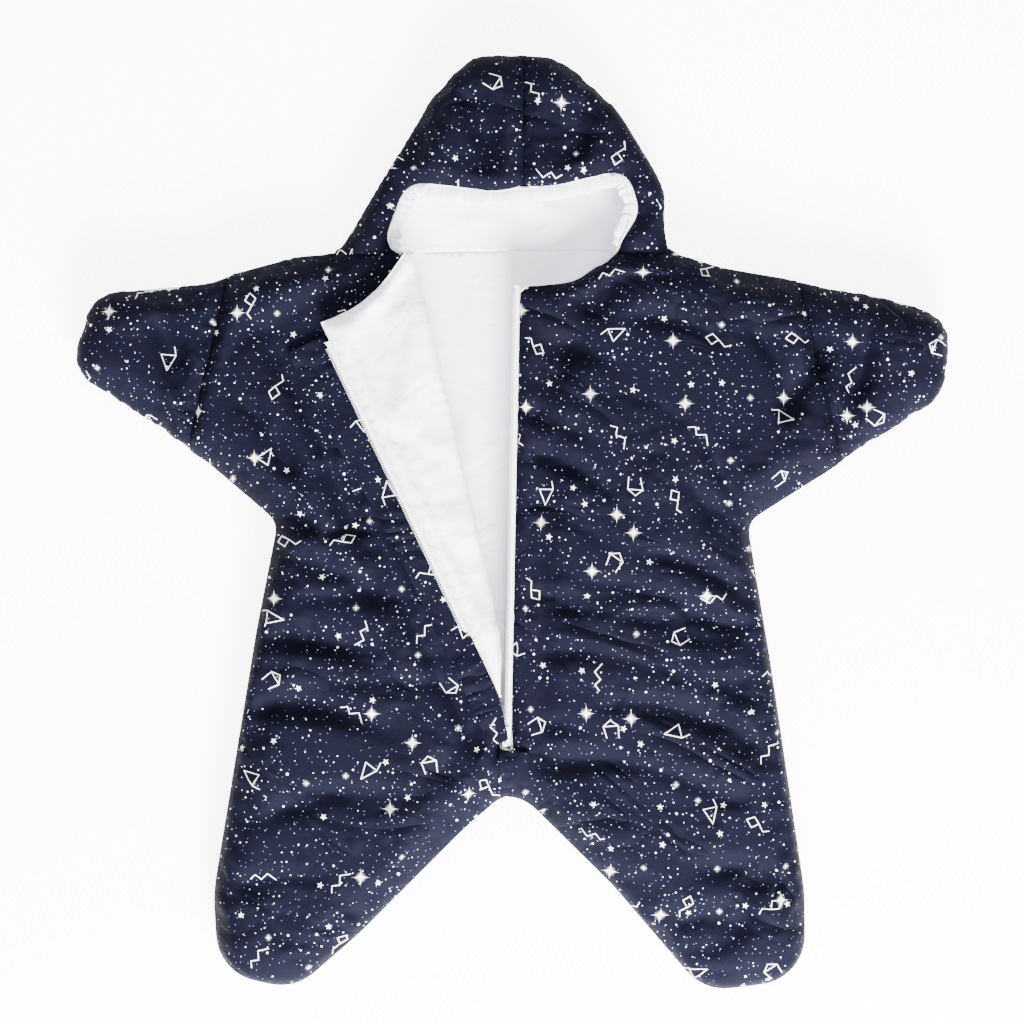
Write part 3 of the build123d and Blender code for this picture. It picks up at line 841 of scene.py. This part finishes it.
def printedCotton():
    material, tree, shader = newFinish("printedCotton")
    uv = tree.nodes.new("ShaderNodeUVMap")
    uv.uv_map = "pattern"
    cloth = placeGroup(tree, weave, uv.outputs[0], Pitch=.0006, Crinkle=.55, Folds=1.0)
    stars = placeGroup(tree, starPrint, uv.outputs[0], Dots=1.0)
    base = mixColour(tree, cloth["Tone"], clothLook["navyShade"], clothLook["navyLit"])
    base = mixColour(tree, stars["Specks"], base, clothLook["speckInk"])
    base = mixColour(tree, stars["White"], base, clothLook["ink"])
    tree.links.new(base, shader.inputs["Base Color"])
    roughness = mathNode(tree, "ADD", mathNode(tree, "MULTIPLY", cloth["Tone"], .16), .62)
    tree.links.new(roughness, shader.inputs["Roughness"])
    shader.inputs["Sheen Weight"].default_value = .008
    shader.inputs["Sheen Roughness"].default_value = .45
    shader.inputs["Sheen Tint"].default_value = (.55, .58, .85, 1)
    shader.inputs["Specular IOR Level"].default_value = .03
    bumpFrom(tree, shader, cloth["Height"], .55)
    return material


def whiteCotton(name, pitch, crinkle):
    material, tree, shader = newFinish(name)
    uv = tree.nodes.new("ShaderNodeUVMap")
    uv.uv_map = "pattern"
    cloth = placeGroup(tree, weave, uv.outputs[0], Pitch=pitch, Crinkle=crinkle, Folds=.5)
    base = mixColour(tree, cloth["Tone"], clothLook["whiteShade"], clothLook["white"])
    tree.links.new(base, shader.inputs["Base Color"])
    roughness = mathNode(tree, "ADD", mathNode(tree, "MULTIPLY", cloth["Tone"], .1), .78)
    tree.links.new(roughness, shader.inputs["Roughness"])
    shader.inputs["Sheen Weight"].default_value = .2
    shader.inputs["Specular IOR Level"].default_value = .25
    bumpFrom(tree, shader, cloth["Height"], .45)
    return material


# Finishes on the CAD nodes and the wadding follow the object's own coordinates
def solidFinish(name, dark, light, scale, detail, roughness, spread, bumpHeight, weight=0.0):
    material, tree, shader = newFinish(name)
    place = tree.nodes.new("ShaderNodeTexCoord").outputs["Object"]
    noise = tree.nodes.new("ShaderNodeTexNoise")
    noise.inputs["Scale"].default_value = scale
    noise.inputs["Detail"].default_value = detail
    tree.links.new(place, noise.inputs["Vector"])
    tree.links.new(mixColour(tree, noise.outputs[0], dark, light), shader.inputs["Base Color"])
    tree.links.new(mathNode(tree, "ADD", mathNode(tree, "MULTIPLY", noise.outputs[0], spread), roughness),
                   shader.inputs["Roughness"])
    shader.inputs["Coat Weight"].default_value = weight
    bumpFrom(tree, shader, mathNode(tree, "MULTIPLY", noise.outputs[0], bumpHeight), .6)
    return material


def tapeFinish():
    material, tree, shader = newFinish("zipTape")
    place = tree.nodes.new("ShaderNodeTexCoord").outputs["Object"]
    parts = tree.nodes.new("ShaderNodeSeparateXYZ")
    tree.links.new(place, parts.inputs[0])
    zig = mathNode(tree, "PINGPONG", parts.outputs[0], .0012)
    zigzag = mathNode(tree, "ADD", parts.outputs[1], zig)
    rib = mathNode(tree, "SINE", mathNode(tree, "MULTIPLY", zigzag, 5200.0))
    tone = mathNode(tree, "ADD", mathNode(tree, "MULTIPLY", rib, .25), .6)
    tree.links.new(mixColour(tree, tone, (.72, .72, .76, 1), (.90, .90, .92, 1)), shader.inputs["Base Color"])
    roughness = mathNode(tree, "ADD", mathNode(tree, "MULTIPLY", tone, .1), .65)
    tree.links.new(roughness, shader.inputs["Roughness"])
    bumpFrom(tree, shader, mathNode(tree, "MULTIPLY", rib, .00008), .7)
    return material


navy = printedCotton()
white = whiteCotton("whiteCotton", .0006, .8)
casingCloth = whiteCotton("casingCloth", .0008, .5)
wadding = solidFinish("wadding", (.80, .80, .79, 1), (.93, .93, .92, 1), 260, 6, .8, .15, .0009)
elasticKnit = solidFinish("elasticKnit", (.70, .70, .70, 1), (.88, .88, .88, 1), 900, 2, .6, .2, .0003)
tapeCloth = tapeFinish()
coil = solidFinish("coil", (.82, .82, .84, 1), (.91, .91, .93, 1), 300, 3, .32, .16, .00004)
enamel = solidFinish("enamel", (.83, .83, .85, 1), (.93, .93, .94, 1), 180, 4, .18, .14, .00003, .4)
print("finishes ready")

front = {name: frontFaces[mask] for name, mask in regions.items()}
back = {name: backFaces[mask] for name, mask in regions.items()}
shift = {"frontRight": (0, 0), "frontLeft": (.43, .17), "flap": (.43, .17), "tipRight": (.81, .29),
         "tipLeft": (.12, .77),
         "hoodRight": (.55, .93), "hoodLeft": (1.27, .41), "back": (.2, 1.4)}


def moved(uv, key):
    return uv + np.array(shift[key])


backOuter = clothPiece("backOuter", outer, back["body"], moved(patternUv, "back"), navy, pucker=True)
dress(backOuter, "bag", "back_outer")
frontRightOuter = clothPiece("frontRightOuter", outer, front["frontRight"],
                             moved(patternUv, "frontRight"), navy, pucker=True)
dress(frontRightOuter, "bag", "front_right_outer")
frontLeftOuter = clothPiece("frontLeftOuter", outer, front["frontLeft"],
                             moved(patternUv, "frontLeft"), navy, pucker=True)
dress(frontLeftOuter, "bag", "front_left_outer")
flapOuter = clothPiece("flapOuter", openOut(outer), front["flap"], moved(patternUv, "flap"), navy)
dress(flapOuter, "front_flap", "flap_outer")

hoodRightOuter = clothPiece("hoodRightOuter", outer, np.vstack([front["hoodRight"], back["hoodBackRight"]]),
                            moved(patternUv, "hoodRight"), navy, pucker=True)
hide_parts("hood_outer_right")
hoodLeftOuter = clothPiece("hoodLeftOuter", outer, np.vstack([front["hoodLeft"], back["hoodBackLeft"]]),
                           moved(patternUv, "hoodLeft"), navy, pucker=True)
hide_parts("hood_outer_left")
hoodFaces = np.vstack([front["hood"][~inside(flat[front["hood"]].mean(1), faceLoop)], back["hood"]])
hoodLining = clothPiece("hoodLining", lining, hoodFaces[:, ::-1], patternUv, white, crisp=True)
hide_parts("hood_lining")
hoodWadding = waddingPiece("hoodWadding", hoodFaces, wadding)
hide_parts("hood_padding")
for piece, slotName in ((hoodRightOuter, "printed_cotton"), (hoodLeftOuter, "printed_cotton"),
                        (hoodLining, "white_cotton"), (hoodWadding, "padding")):
    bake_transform(piece)
print("outer cloth ready")

for side, seam, key, sign in (("Right", bagCut["rightArmSeam"], "tipRight", 1),
                              ("Left", bagCut["leftArmSeam"], "tipLeft", -1)):
    a, b = np.array(seam[0]), np.array(seam[1])
    middle = (a + b) / 2
    start = (*middle, .025)
    body = "arm_tip_" + side.lower()
    tipFaces = np.vstack([front[key], back[key]])
    tipOuter = clothPiece("armTip" + side + "Outer", outer, tipFaces, moved(patternUv, key), navy,
                          pucker=True)
    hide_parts(body + "_outer")
    tipLining = clothPiece("armTip" + side + "Lining", lining, tipFaces[:, ::-1], patternUv, white)
    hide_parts(body + "_lining")
    tipWadding = waddingPiece("armTip" + side + "Wadding", tipFaces, wadding)
    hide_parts(body + "_padding")
    for piece in (tipOuter, tipLining, tipWadding):
        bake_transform(piece)

bodyLining = clothPiece("backLining", lining, back["body"][:, ::-1], patternUv, white, crisp=True)
dress(bodyLining, "bag", "back_lining")
rightLining = clothPiece("frontRightLining", lining, front["frontRight"][:, ::-1], patternUv, white,
                         crisp=True)
dress(rightLining, "bag", "front_right_lining")

# The lining of the front left runs on over the fold into the flap, round an open roll
foldRoll = {"reach": .0085, "rows": 9}
belowNeck = flat[:, 1] < bagCut["neck"] + 1e-4
onFold = np.nonzero((np.abs(foldOffset) < 1e-4) & (foldDistance > .035) & belowNeck)[0]
onFold = onFold[np.argsort(foldDistance[onFold])]
inFlapFaces = np.unique(front["flap"])
inLeftFaces = np.unique(front["frontLeft"])
onFold = np.array([i for i in onFold if i in set(inFlapFaces) and i in set(inLeftFaces)])


def rollRows(points, reach, low, high):
    rows = []
    rise = (high - low) / 2
    taper = smooth((foldDistance[onFold] - .04) / .06)
    for k in range(1, foldRoll["rows"]):
        angle = math.pi * k / foldRoll["rows"]
        row = points[onFold].copy()
        row[:, :2] += (reach * taper * math.sin(angle))[:, None] * foldRight
        row[:, 2] = (low + high) / 2 - rise * math.cos(angle)
        rows.append(row)
    return rows


def foldedPiece(name, points, leftFaces, flapFaces, reach, uv, finish):
    turned = openOut(points)
    rows = rollRows(points, reach, points[onFold, 2], turned[onFold, 2])
    allPoints = [points[:count], turned[:count]] + rows
    allUv = [uv[:count], uv[:count]] + [uv[onFold]] * len(rows)
    faces = [tuple(int(i) for i in f) for f in leftFaces]
    faces += [tuple(int(i) + count for i in f) for f in flapFaces]
    rungs = [2 * count + k * len(onFold) + np.arange(len(onFold)) for k in range(len(rows))]
    ladder = [onFold] + rungs + [onFold + count]
    for low, high in zip(ladder[:-1], ladder[1:]):
        for k in range(len(onFold) - 1):
            faces.append((int(low[k]), int(low[k + 1]), int(high[k + 1]), int(high[k])))
    return clothPiece(name, np.vstack(allPoints), faces, np.vstack(allUv), finish, crisp=True)


flapLining = foldedPiece("flapLining", lining, front["frontLeft"][:, ::-1], front["flap"][:, ::-1],
                         foldRoll["reach"], patternUv, white)
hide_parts("front_left_lining", "flap_lining")
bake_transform(flapLining)

waddings = [("backWadding", back["body"], False, "bag", "back_padding"),
            ("frontRightWadding", front["frontRight"], False, "bag", "front_right_padding"),
            ("frontLeftWadding", front["frontLeft"], False, "bag", "front_left_padding"),
            ("flapWadding", front["flap"], True, "front_flap", "flap_padding")]
for name, faces, opened, body, node in waddings:
    piece = waddingPiece(name, faces, wadding, opened)
    dress(piece, body, node)
print("lining and wadding ready")

placketCut = {"start": .006, "end": .383, "width": .026, "hem": .008, "thick": .0016,
              "height": .0506, "wave": .0007, "flare": .011}


def stripGrid(start, end, near, far, rows, columns, height, foldSide=0):
    points, uv = [], []
    for i in range(rows + 1):
        s = start + (end - start) * i / rows
        edge = min(far, foldSide * s - .0006) if foldSide else far
        free = near - (placketCut["flare"] * float(smooth((s - .17) / .20)) if foldSide else 0)
        for k in range(columns + 1):
            u = free + (edge - free) * k / columns
            xy = zipPoint(s, u)
            points.append((xy[0], xy[1], height(s, (k / columns), xy)))
            uv.append((u * 1.0 + .9, s + .33))
    wide = columns + 1
    faces = [(i * wide + k, (i + 1) * wide + k, (i + 1) * wide + k + 1, i * wide + k + 1)
             for i in range(rows) for k in range(columns)]
    return np.array(points), faces, np.array(uv)


def slab(name, points, faces, uv, finish, thick):
    obj = newMesh(name, points, faces)
    setUv(obj, uv)
    wall = obj.modifiers.new("wall", "SOLIDIFY")
    wall.thickness = thick
    wall.offset = 0
    subdivision = obj.modifiers.new("smooth", "SUBSURF")
    subdivision.levels = subdivision.render_levels = 2
    subdivision.uv_smooth = "NONE"
    applyAll(obj)
    for polygon in obj.data.polygons:
        polygon.use_smooth = True
    obj.data.materials.clear()
    obj.data.materials.append(finish)
    return obj


def placketHeight(s, across, xy):
    free = 1 - across
    wave = placketCut["wave"] * math.sin(s / .019 + 1.3) + placketCut["wave"] * math.sin(s / .0071)
    return placketCut["height"] + .0004 + wave * (.25 + .75 * free)


points, faces, uv = stripGrid(placketCut["start"], placketCut["end"], bagCut["zipGap"] - placketCut["width"],
                              bagCut["zipGap"] + placketCut["hem"], 72, 8, placketHeight,
                              -(foldRight @ zipAlong) / (foldRight @ zipLeft))
placket = slab("placketStrip", openOut(points), [f[::-1] for f in faces], uv, navy, placketCut["thick"])
dress(placket, "front_flap", "placket")

tailCut = {"start": -.037, "end": -.004, "left": .010, "right": -.016, "thick": .0014, "puff": .0034}


def tailHeight(s, across, xy):
    near = np.argsort(np.linalg.norm(outer[:count, :2] - xy, axis=1))[:6]
    along = (s - tailCut["start"]) / (tailCut["end"] - tailCut["start"])
    crown = math.sin(math.pi * across) ** .6 if 0 < across < 1 else 0
    return float(outer[near, 2].mean()) + .0012 + tailCut["puff"] * crown * (.4 + .6 * along)


points, faces, uv = stripGrid(tailCut["start"], tailCut["end"], tailCut["right"], tailCut["left"], 9, 8,
                              tailHeight)
placketTail = slab("placketTail", points, faces, uv + .21, navy, tailCut["thick"])
dress(placketTail, "bag", "placket_tail")
print("placket ready")

casingCut = {"width": .0125, "thick": .0038, "height": .0428, "step": .0016, "ruffle": .0016, "gather": .0085}
hoodRim = np.roll(faceLoop, -int(np.argmin(np.linalg.norm(faceLoop - np.array([.007, .199]), axis=1))), 0)
hoodRim = hoodRim[hoodRim[:, 1] > bagCut["neck"] + .002]
hoodRim = resample(hoodRim, casingCut["step"])
tangent = np.gradient(hoodRim, axis=0)
tangent /= np.linalg.norm(tangent, axis=1)[:, None]
inward = np.stack([tangent[:, 1], -tangent[:, 0]], 1)
if (inward[len(inward) // 2] @ (np.array([0, .25]) - hoodRim[len(hoodRim) // 2])) < 0:
    inward = -inward
run = np.arange(len(hoodRim)) * casingCut["step"]
ends = smooth(run / .012) * smooth((run[-1] - run) / .012)


def casingTube(name, width, thick, inset, finish, ruffle, sides=16):
    points, uv = [], []
    wide = width * (1 + .16 * gather(run, .031)) * (.35 + .65 * ends)
    lift = ruffle * gather(run + .4, casingCut["gather"])
    pinch = .22 * gather(run + .9, casingCut["gather"] * .7)
    slide = ruffle * .8 * gather(run + 1.7, casingCut["gather"] * 1.3)
    for i in range(len(hoodRim)):
        for k in range(sides):
            angle = 2 * math.pi * k / sides
            u = (1 - math.cos(angle)) / 2
            out = inset + u * wide[i] + slide[i] * u
            half = thick / 2 * (1 + pinch[i] * u) * (.6 + .4 * ends[i])
            z = casingCut["height"] + half * math.sin(angle) + lift[i] * u
            xy = hoodRim[i] + inward[i] * out
            points.append((xy[0], xy[1], z))
            uv.append((run[i], k * .0022))
    faces = [(i * sides + k, (i + 1) * sides + k,
              (i + 1) * sides + (k + 1) % sides, i * sides + (k + 1) % sides)
             for i in range(len(hoodRim) - 1) for k in range(sides)]
    faces.append(tuple(range(sides)))
    faces.append(tuple((len(hoodRim) - 1) * sides + k for k in reversed(range(sides))))
    obj = newMesh(name, np.array(points), faces)
    bpy.ops.object.select_all(action="DESELECT")
    obj.select_set(True)
    bpy.context.view_layer.objects.active = obj
    bpy.ops.object.mode_set(mode="EDIT")
    bpy.ops.mesh.select_all(action="SELECT")
    bpy.ops.mesh.normals_make_consistent(inside=False)
    bpy.ops.object.mode_set(mode="OBJECT")
    for polygon in obj.data.polygons:
        polygon.use_smooth = True
    setUv(obj, np.array(uv))
    obj.data.materials.append(finish)
    return obj


casing = casingTube("hoodCasing", casingCut["width"], casingCut["thick"], -.0008, casingCloth,
                    casingCut["ruffle"])
elasticBand = casingTube("hoodElastic", .005, .0011, .004, elasticKnit, .0003, 8)
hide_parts("hood_casing")
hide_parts("hood_elastic")
for piece in (casing, elasticBand):
    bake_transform(piece)

cadFinishes = {"zip_tape": tapeCloth, "zip_teeth": coil, "zip_bottom_stop": enamel, "zip_top_stop": enamel,
               "zip_slider": enamel, "pull_tab": enamel}
for node, piece in nodes.items():
    for start, finish in cadFinishes.items():
        if node.startswith(start):
            for place in piece.material_slots:
                place.material = finish

view = {"height": 2.46, "lens": 100, "aim": (-.0004, .0077)}
camera = bpy.data.objects.new("camera", bpy.data.cameras.new("camera"))
bpy.context.scene.collection.objects.link(camera)
camera.location = (*view["aim"], view["height"])
camera.data.lens = view["lens"]
bpy.context.scene.camera = camera

light = {"sky": 2.1, "key": 560, "keySize": 1.0, "floor": (.90, .90, .91, 1), "floorGlow": 6.5}
bpy.ops.object.select_all(action="DESELECT")
bpy.ops.mesh.primitive_plane_add(size=14, location=(0, 0, 0))
floor = bpy.context.object
floor.name = "floor"
floorPaint, tree, shader = newFinish("floorPaint")
shader.inputs["Base Color"].default_value = light["floor"]
shader.inputs["Roughness"].default_value = .9
shader.inputs["Emission Color"].default_value = (1, 1, 1, 1)
seen = tree.nodes.new("ShaderNodeLightPath").outputs["Is Camera Ray"]
tree.links.new(mathNode(tree, "MULTIPLY", seen, light["floorGlow"]), shader.inputs["Emission Strength"])
floor.data.materials.append(floorPaint)
key = bpy.data.objects.new("softKey", bpy.data.lights.new("softKey", "AREA"))
key.data.energy = light["key"]
key.data.shape = "SQUARE"
key.data.size = light["keySize"]
key.location = (.5, -2.0, 1.35)
key.rotation_euler = Vector((-.5, 2.0, -1.35)).to_track_quat("-Z", "Y").to_euler()
bpy.context.scene.collection.objects.link(key)
world = bpy.data.worlds.new("world")
bpy.context.scene.world = world
world.use_nodes = True
world.node_tree.nodes["Background"].inputs[0].default_value = (1, 1, 1, 1)
world.node_tree.nodes["Background"].inputs[1].default_value = light["sky"]
